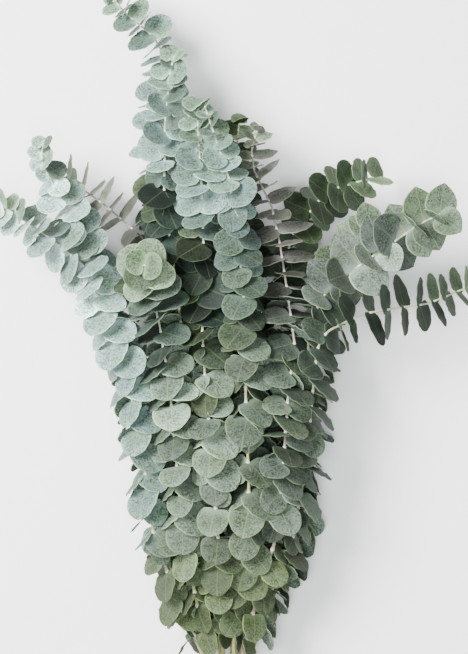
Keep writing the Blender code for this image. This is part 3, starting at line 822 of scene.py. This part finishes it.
def leaves_piece(branch, leaves, looks):
    """All the leaves of a branch as one mesh, with their place on the blade and their colour."""
    count = len(U)
    points, quads, blades, tones, unders = [], [], [], [], []
    for number, (leaf, share, seed) in enumerate(leaves):
        shape, shares = fine_blade(branch, leaf, seed)
        points.append(shape)
        quads.append(QUADS + number * count)
        blades.append(np.stack([U, shares, V], axis=1))
        upper, under = leaf_tone(branch, leaf, seed, share)
        # Painted shade and light: each blade is darker in its cupped middle and lighter towards its rim
        middle = 1 - np.minimum(1.0, shares**2 + (2 * U - 1) ** 2)
        shade = PAINTED_RIM_LIGHT + (PAINTED_MIDDLE_SHADE - PAINTED_RIM_LIGHT) * middle
        tones.append(np.c_[shade[:, None] * upper, np.ones(count)])
        unders.append(np.tile((*under, 1.0), (count, 1)))
    mesh = mesh_from_arrays(branch.name + "_leaves", np.concatenate(points), np.concatenate(quads))
    set_attribute(mesh, "blade", "FLOAT_VECTOR", np.concatenate(blades))
    set_attribute(mesh, "tone", "FLOAT_COLOR", np.concatenate(tones))
    set_attribute(mesh, "under", "FLOAT_COLOR", np.concatenate(unders))
    for look in looks:
        mesh.materials.append(look)
    obj = link(bpy.data.objects.new(branch.name + "_leaves", mesh))
    solid = obj.modifiers.new("thickness", "SOLIDIFY")
    solid.thickness = FINE_THICKNESS * MM
    solid.offset = 0
    solid.material_offset = 1
    solid.material_offset_rim = 0
    return obj


def stem_piece(branch, line, looks):
    """A branch's stem: a tapering round tube with a swelling at each pair of leaves."""
    nodes = np.array([s for s, share, size in pair_places(branch, line)])
    steps = np.arange(0.0, line.length, STEM_STEP)
    rings = [steps, nodes, nodes - SWELL_RING, nodes + SWELL_RING, [line.length - TIP_CAP]]
    places = np.unique(np.concatenate(rings))
    places = places[(places >= 0) & (places < line.length)]
    points, barks = [], []
    for s in places:
        place, along, up, right = line.at(float(s))
        near = float(np.abs(nodes - s).min())
        node = math.exp(-(near / SWELL_LENGTH) ** 2)
        radius = line.radius(float(s)) * (STEM_SHARE + NODE_SWELL * node)
        for k in range(STEM_SIDES):
            angle = 2 * math.pi * k / STEM_SIDES
            points.append(place + (up * math.cos(angle) + right * math.sin(angle)) * radius)
            barks.append((s / line.length, node, 0.0))
    quads = []
    for i in range(len(places) - 1):
        for k in range(STEM_SIDES):
            a, b = i * STEM_SIDES + k, i * STEM_SIDES + (k + 1) % STEM_SIDES
            quads.append((a, b, b + STEM_SIDES, a + STEM_SIDES))
    name = branch.name + "_stem"
    mesh = bpy.data.meshes.new(name)
    last = (len(places) - 1) * STEM_SIDES
    caps = [tuple(reversed(range(STEM_SIDES))), tuple(range(last, last + STEM_SIDES))]
    mesh.from_pydata([p * MM for p in points], [], quads + caps)
    mesh.shade_smooth()
    mesh.set_sharp_from_angle(angle=STEM_SHARP)
    mesh.polygons[len(quads)].material_index = 1
    set_attribute(mesh, "bark", "FLOAT_VECTOR", barks)
    for look in looks:
        mesh.materials.append(look)
    return link(bpy.data.objects.new(name, mesh))


class Nodes:
    """A small helper that adds shader nodes and links values or sockets to their inputs."""

    def __init__(self, name):
        self.material = bpy.data.materials.new(name)
        self.material.use_nodes = True
        self.tree = self.material.node_tree
        self.shader = self.tree.nodes["Principled BSDF"]

    def add(self, kind, inputs=(), **settings):
        node = self.tree.nodes.new(kind)
        for key, value in settings.items():
            setattr(node, key, value)
        for key, value in dict(inputs).items():
            self.put(node.inputs[key], value)
        return node

    def put(self, socket, value):
        if isinstance(value, bpy.types.NodeSocket):
            self.tree.links.new(value, socket)
        else:
            socket.default_value = value

    def math(self, operation, a, b=0.0):
        return self.add("ShaderNodeMath", {0: a, 1: b}, operation=operation).outputs[0]

    def times(self, a, b):
        return self.math("MULTIPLY", a, b)

    def between(self, value, low, high, start=0.0, end=1.0):
        """From start, where the value is low or less, smoothly to end, where it is high or more."""
        node = self.add("ShaderNodeMapRange", {0: value, 1: low, 2: high, 3: start, 4: end})
        node.interpolation_type = "SMOOTHSTEP"
        return node.outputs[0]

    def mixed(self, share, a, b, blend="MIX"):
        node = self.add("ShaderNodeMix", {0: share, 6: a, 7: b}, data_type="RGBA", blend_type=blend)
        return node.outputs[2]

    def noise(self, scale, detail, roughness=0.5):
        where = self.add("ShaderNodeTexCoord").outputs["Object"]
        settings = {"Vector": where, "Scale": scale, "Detail": detail, "Roughness": roughness}
        return self.add("ShaderNodeTexNoise", settings).outputs[0]

    def tinted(self, colour, tint, lift=(0.0, 0.0, 0.0)):
        """The colour with each channel multiplied, which may make it lighter, and a little light added."""
        node = self.add("ShaderNodeVectorMath", {0: colour, 1: tint, 2: lift}, operation="MULTIPLY_ADD")
        return node.outputs[0]

    def attribute(self, name):
        return self.add("ShaderNodeAttribute", attribute_name=name)

    def finished(self, colour, roughness, relief=None, strength=0.0, depth=0.0):
        """The material with its colour, its roughness and a relief that is a depth high, in metres."""
        self.put(self.shader.inputs["Base Color"], colour)
        self.put(self.shader.inputs["Roughness"], roughness)
        if relief is not None:
            bump = self.add("ShaderNodeBump", {"Strength": strength, "Distance": depth, "Height": relief})
            self.put(self.shader.inputs["Normal"], bump.outputs[0])
        return self.material


class Side(NamedTuple):
    """What differs between a leaf's upper side and its underside."""

    name: str
    tone: str  # the mesh layer that holds its colour
    bloom: float  # how much of the whitish bloom lies in clouds on it
    base: float  # how much paler it is near the root
    rib: float  # how pale the rib is
    gloss: float  # the roughness of its smoothest spots
    raised: float  # how far the rib and the veins stand out; below 0 they are sunk in


UPPER_SIDE = Side("leaf_upper", "tone", 0.40, 0.7, 0.60, 0.55, -0.5)
UNDERSIDE = Side("leaf_under", "under", 0.0, 0.2, 0.90, 0.78, 0.9)

# The leaf's specks of wax, its finer grains, its clouds of bloom and its rubbed spots: how many to a metre
SPECKS = 620.0
GRAINS = 1500.0
CLOUDS = 110.0
RUBBED_SPOTS = 55.0

# What a leaf's tone is multiplied by, and the light that is added to it
RUBBED = (0.64, 0.76, 0.44)
SPECK_GAPS = (0.46, 0.52, 0.43)
# The specks' light side: wax, brightened further as painted highlight
WAX_AND_HIGHLIGHT = (1.92, 1.97, 2.00)
GRAIN = (1.35, 1.35, 1.35)
BLOOM = (2.10, 2.25, 2.35)
BASE = (2.40, 2.50, 2.50)
VEINS, VEIN_LIFT = (1.75, 1.80, 1.50), (0.030, 0.040, 0.020)
MARGIN, MARGIN_LIFT = (2.1, 2.2, 1.7), (0.020, 0.026, 0.012)

# The side veins: how many, how far they slant towards the tip, and how far they wander
VEIN_PAIRS = 8.0
VEIN_SLANT = 0.42
VEIN_WANDER = 0.08


def leaf_look(side):
    """A leaf's surface: waxy bloom broken into fine specks, lit up as painted highlights, pale veins and a
    pale margin.
    """
    n = Nodes(side.name)
    place = n.add("ShaderNodeSeparateXYZ", {0: n.attribute("blade").outputs["Vector"]})
    u, x, v = place.outputs
    off_rib = n.math("ABSOLUTE", x)
    tone = n.attribute(side.tone).outputs["Color"]

    specks = n.noise(SPECKS, 4.0, roughness=0.70)
    grains = n.noise(GRAINS, 2.0)
    cloud = n.noise(CLOUDS, 3.0)
    rubbed = n.noise(RUBBED_SPOTS, 2.0)

    # The rib, and side veins that leave it slanting forwards
    rib = n.between(off_rib, 0.015, 0.055, 1.0, 0.0)
    slant = n.math("SUBTRACT", u, n.times(off_rib, VEIN_SLANT))
    slant = n.math("ADD", slant, n.times(cloud, VEIN_WANDER))
    vein = n.math("PINGPONG", n.times(slant, VEIN_PAIRS), 0.5)
    vein = n.between(vein, 0.0, 0.11, 1.0, 0.0)
    vein = n.times(vein, n.between(off_rib, 0.05, 0.9, 0.9, 0.15))
    margin = n.between(n.math("ABSOLUTE", v), 0.90, 0.98)
    base = n.between(u, 0.0, 0.30, 1.0, 0.0)

    colour = n.mixed(n.between(rubbed, 0.50, 0.68, 0.0, 0.75), tone, n.tinted(tone, RUBBED))
    # The light specks are wax, partly painted as highlight
    dark, light = n.tinted(colour, SPECK_GAPS), n.tinted(colour, WAX_AND_HIGHLIGHT)
    colour = n.mixed(n.between(specks, 0.40, 0.62), dark, light)
    colour = n.mixed(n.between(grains, 0.35, 0.65, 0.0, 0.35), colour, n.tinted(colour, GRAIN))
    bloom = n.times(n.between(cloud, 0.42, 0.68), side.bloom)
    colour = n.mixed(bloom, colour, n.tinted(tone, BLOOM))
    colour = n.mixed(n.times(base, side.base), colour, n.tinted(tone, BASE))
    pale = n.tinted(tone, VEINS, VEIN_LIFT)
    colour = n.mixed(n.times(vein, 0.38), colour, pale)
    colour = n.mixed(n.times(rib, side.rib), colour, pale)
    colour = n.mixed(n.times(margin, 0.85), colour, n.tinted(tone, MARGIN, MARGIN_LIFT))
    n.put(n.shader.inputs["Specular IOR Level"], 0.22)

    raised = n.math("ADD", n.times(vein, 0.5), rib)
    relief = n.math("ADD", n.times(specks, 0.45), n.times(raised, side.raised))
    return n.finished(colour, n.between(specks, 0.3, 0.7, side.gloss, 0.85), relief, 0.45, 0.0006)


# Bark: its colours from the cut end to the tip, its flecks, its brown patches and its bloom
GREEN_BARK = ((0.30, 0.28, 0.11, 1.0), (0.26, 0.29, 0.12, 1.0), (0.36, 0.42, 0.24, 1.0))
BROWN_BARK = ((0.24, 0.17, 0.10, 1.0), (0.24, 0.20, 0.17, 1.0), (0.26, 0.24, 0.22, 1.0))
BARK_FLECKS = (0.78, 0.78, 0.76, 1.0)
BARK_PATCHES = (0.40, 0.22, 0.10, 1.0)
BARK_BLOOM = (0.62, 0.66, 0.58, 1.0)

# Cut wood and jute, dark and pale, and the jute's weathered patches
WOOD = ((0.50, 0.44, 0.26, 1.0), (0.66, 0.62, 0.42, 1.0))
JUTE = ((0.24, 0.16, 0.08, 1.0), (0.56, 0.42, 0.25, 1.0))
OLD_JUTE = (0.40, 0.28, 0.15, 1.0)


def stem_look(name, low, middle, high):
    """Bark that goes from woody at the cut end to waxy at the tip, with whitish bloom at each pair."""
    n = Nodes(name)
    place = n.add("ShaderNodeSeparateXYZ", {0: n.attribute("bark").outputs["Vector"]})
    share, node = place.outputs[0], place.outputs[1]
    flecks = n.noise(700.0, 3.0)
    patches = n.noise(120.0, 2.0)
    colour = n.mixed(n.between(share, 0.08, 0.45), low, middle)
    colour = n.mixed(n.between(share, 0.5, 0.95), colour, high)
    flecked = n.mixed(1.0, colour, BARK_FLECKS, "MULTIPLY")
    colour = n.mixed(n.between(flecks, 0.40, 0.65), flecked, colour)
    colour = n.mixed(n.between(patches, 0.5, 0.7, 0.0, 0.3), colour, BARK_PATCHES)
    colour = n.mixed(n.times(node, 0.75), colour, BARK_BLOOM)
    return n.finished(colour, n.between(flecks, 0.3, 0.7, 0.55, 0.8), flecks, 0.4, 0.0004)


def cut_look():
    """The cut end of a stem: pale wood with a darker grain."""
    n = Nodes("cut_wood")
    grain = n.noise(1500.0, 2.0)
    return n.finished(n.mixed(n.between(grain, 0.4, 0.65), *WOOD), 0.8)


def twine_look():
    """Jute: fine tan fibres with weathered patches."""
    n = Nodes("jute_twine")
    fibres = n.noise(2600.0, 4.0)
    patches = n.noise(260.0, 2.0)
    colour = n.mixed(n.between(fibres, 0.35, 0.68), *JUTE)
    colour = n.mixed(n.between(patches, 0.45, 0.7, 0.0, 0.4), colour, OLD_JUTE)
    return n.finished(colour, 0.92, fibres, 0.8, 0.0003)


def round_curve(name, radius, resolution, look):
    """A curve with no points yet and a round section, its radius in millimetres."""
    data = bpy.data.curves.new(name, "CURVE")
    data.dimensions = "3D"
    data.bevel_depth = radius * MM
    data.bevel_resolution = resolution
    data.materials.append(look)
    return data


def strands(name, path, radius, look, cyclic=False, beside=(0.0, 1.0, 0.02)):
    """Twisted twine along a path in millimetres: three strands wound round its centre line."""
    data = round_curve(name, radius * STRAND_SHARE, 2, look)
    data.use_fill_caps = not cyclic
    points = np.array([tuple(p) for p in path])
    if cyclic:
        along = np.roll(points, -1, axis=0) - np.roll(points, 1, axis=0)
        run = np.linalg.norm(points - np.roll(points, 1, axis=0), axis=1).cumsum()
        turns = round(run[-1] / TWIST_PITCH)
    else:
        along = np.gradient(points, axis=0)
        run = np.r_[0, np.linalg.norm(np.diff(points, axis=0), axis=1).cumsum()]
        turns = run[-1] / TWIST_PITCH
    along /= np.linalg.norm(along, axis=1)[:, None]
    side = np.cross(along, np.array(beside))
    side /= np.linalg.norm(side, axis=1)[:, None]
    other = np.cross(along, side)
    for strand in range(3):
        angle = 2 * math.pi * (run / run[-1] * turns + strand / 3)
        sideways = np.cos(angle)[:, None] * side + np.sin(angle)[:, None] * other
        placed = points + STRAND_OFFSET * radius * sideways
        spline = data.splines.new("POLY")
        spline.points.add(len(placed) - 1)
        spline.points.foreach_set("co", np.c_[placed * MM, np.ones(len(placed))].ravel())
        spline.use_cyclic_u = cyclic
        spline.use_smooth = True
    return link(bpy.data.objects.new(name, data))


def resampled(path, step, cyclic=False):
    """Points every step along straight runs between the path's points, in millimetres."""
    points = [*path, path[0]] if cyclic else list(path)
    out = []
    for a, b in zip(points, points[1:]):
        count = max(1, round((b - a).length / step))
        out += [a.lerp(b, i / count) for i in range(count)]
    return out if cyclic else [*out, points[-1]]


def cornered_off(loop):
    """A closed loop with its corners cut twice, which makes them round."""
    for _ in range(2):
        loop = [p for a, b in zip(loop, loop[1:] + loop[:1]) for p in (a.lerp(b, 0.25), a.lerp(b, 0.75))]
    return loop


def tie_pieces(slots, look):
    """Three turns of twisted twine, a knot and two tails with frayed ends."""
    loop = tie_outline(slots)
    pieces = []
    for turn in range(TWINE_TURNS):
        y = (turn - (TWINE_TURNS - 1) / 2) * TWINE_PITCH
        ring = [Vector((p.x, TIE_Y + y, TIE_HEIGHT + TIE_SLOPE * y + p.y)) - ORIGIN for p in loop]
        path = resampled(cornered_off(ring), TWINE_STEP, True)
        pieces.append(strands(f"twine_turn_{turn}", path, TWINE_RADIUS, look, True))
    top = max(loop, key=lambda p: p.y)
    knot = Vector((top.x, TIE_Y, TIE_HEIGHT + top.y + KNOT_HEIGHT * KNOT_SEAT)) - ORIGIN
    loops = []
    for i in range(KNOT_POINTS):
        t = 2 * math.pi * i / KNOT_POINTS
        bow = (math.sin(t) + 2 * math.sin(2 * t), math.cos(t) - 2 * math.cos(2 * t), -math.sin(3 * t))
        loops.append(knot + Vector(a * b for a, b in zip(bow, KNOT_BOW)))
    pieces.append(strands("twine_knot", loops, TWINE_RADIUS * KNOT_TWINE, look, True, (0.0, 0.03, 1.0)))
    draw = random.Random(FRAY_SEED)
    for side in (-1, 1):
        tail = [knot + Vector((side * x, y, z)) for x, y, z in TAIL_ROUTE]
        path = resampled(smooth(tail, TAIL_STEPS), TWINE_STEP)
        pieces.append(strands(f"twine_tail_{side + 2}", path, TWINE_RADIUS * TAIL_TWINE, look, beside=UP))
        pieces.append(frayed(f"twine_fray_{side + 2}", path[-1], path[-1] - path[-3], draw, look))
    return pieces


def frayed(name, place, along, draw, look):
    """The loose fibres of a cut twine end."""
    data = round_curve(name, FIBRE_RADIUS, 1, look)
    along = along.normalized()
    for _ in range(FIBRES):
        start = place - along * FRAY_DEPTH + Vector(draw.uniform(-FRAY_SPREAD, FRAY_SPREAD) for _ in range(3))
        drift = Vector(draw.uniform(-FIBRE_DRIFT, FIBRE_DRIFT) for _ in range(3))
        reach = draw.uniform(*FIBRE_REACH)
        spline = data.splines.new("POLY")
        spline.points.add(FIBRE_STEPS)
        for i, point in enumerate(spline.points):
            share = i / FIBRE_STEPS
            point.co = (*((start + along * reach * share + drift * reach * share**2) * MM), 1.0)
            point.radius = 1.0 - FIBRE_THINNING * share
    return link(bpy.data.objects.new(name, data))


# The floor, in metres: white paper just below the leaves that touch z = 0
FLOOR_HALF = 6.0
FLOOR_GAP = 0.0006
PAPER = (0.94, 0.94, 0.94, 1.0)


def floor():
    sides = ((-1, -1), (1, -1), (1, 1), (-1, 1))
    corners = [(FLOOR_HALF * x, FLOOR_HALF * y, -FLOOR_GAP) for x, y in sides]
    mesh = bpy.data.meshes.new("floor")
    mesh.from_pydata(corners, [], [(0, 1, 2, 3)])
    mesh.materials.append(Nodes("paper_floor").finished(PAPER, 0.9))
    obj = link(bpy.data.objects.new("floor", mesh))


# The lights: place, target, size, power in watts and colour, and the light of the sky
LIGHTS = {
    "key": ((-1.35, 0.75, 1.9), (0.0, 0.05, 0.05), 1.3, 230.0, (1.0, 0.995, 0.98)),
    "fill": ((-0.10, -0.20, 2.2), (0.0, 0.0, 0.05), 0.8, 50.0, (0.97, 0.99, 1.0)),
}
SKY = (0.95, 0.97, 1.0, 1.0)
SKY_STRENGTH = 0.66


def light(name, place, target, size, power, colour):
    data = bpy.data.lights.new(name, "AREA")
    data.shape = "DISK"
    data.size = size
    data.energy = power
    data.color = colour
    obj = link(bpy.data.objects.new(name, data))
    obj.location = place
    obj.rotation_euler = (Vector(target) - Vector(place)).to_track_quat("-Z", "Y").to_euler()


# The camera: the photograph's frame is 468 by 654 pixels, of 0.9 mm each at the bunch's middle height
PIXEL = 0.9
PHOTO_ROWS = 654
PHOTO_HEIGHT = PHOTO_ROWS * PIXEL * MM
CAMERA_HEIGHT = 2.3
MIDDLE_HEIGHT = 0.075
SENSOR_HEIGHT = 24.0


def camera():
    data = bpy.data.cameras.new("camera")
    data.sensor_fit = "VERTICAL"
    data.sensor_height = SENSOR_HEIGHT
    data.lens = SENSOR_HEIGHT * (CAMERA_HEIGHT - MIDDLE_HEIGHT) / PHOTO_HEIGHT
    obj = link(bpy.data.objects.new("camera", data))
    obj.location = (-ORIGIN.x * MM, (PHOTO_ROWS / 2 * PIXEL - ORIGIN.y) * MM, CAMERA_HEIGHT)
    bpy.context.scene.camera = obj


def world():
    made = bpy.data.worlds.new("studio")
    made.use_nodes = True
    back = made.node_tree.nodes["Background"]
    back.inputs["Color"].default_value = SKY
    back.inputs["Strength"].default_value = SKY_STRENGTH
    bpy.context.scene.world = made


def main():
    lines, slots = stem_lines()
    space = Space()
    fill_with_stems(space, lines)
    solid = grow(space, lines, is_solid, BLADE_THICKNESS / 2 + CLEARANCE, TRIES)
    added = grow(space, lines, lambda number: not is_solid(number), FINE_THICKNESS, FINE_TRIES)
    upper = leaf_look(UPPER_SIDE)
    under = leaf_look(UNDERSIDE)
    green_stem = stem_look("green_stem", *GREEN_BARK)
    brown_stem = stem_look("brown_stem", *BROWN_BARK)
    cut = cut_look()
    for index, (branch, line) in enumerate(zip(BRANCHES, lines)):
        leaves = leaves_piece(branch, solid[index] + added[index], [upper, under])
        bark = brown_stem if branch.name in SLENDER_BRANCHES else green_stem
        stem = stem_piece(branch, line, [bark, cut])
        for piece in (leaves, stem):
            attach(piece, "root")
            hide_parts(branch.name)
    for piece in tie_pieces(slots, twine_look()):
        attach(piece, "root")
        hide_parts("twine_tie")
    floor()
    world()
    for name, settings in LIGHTS.items():
        light(name, *settings)
    camera()


main()
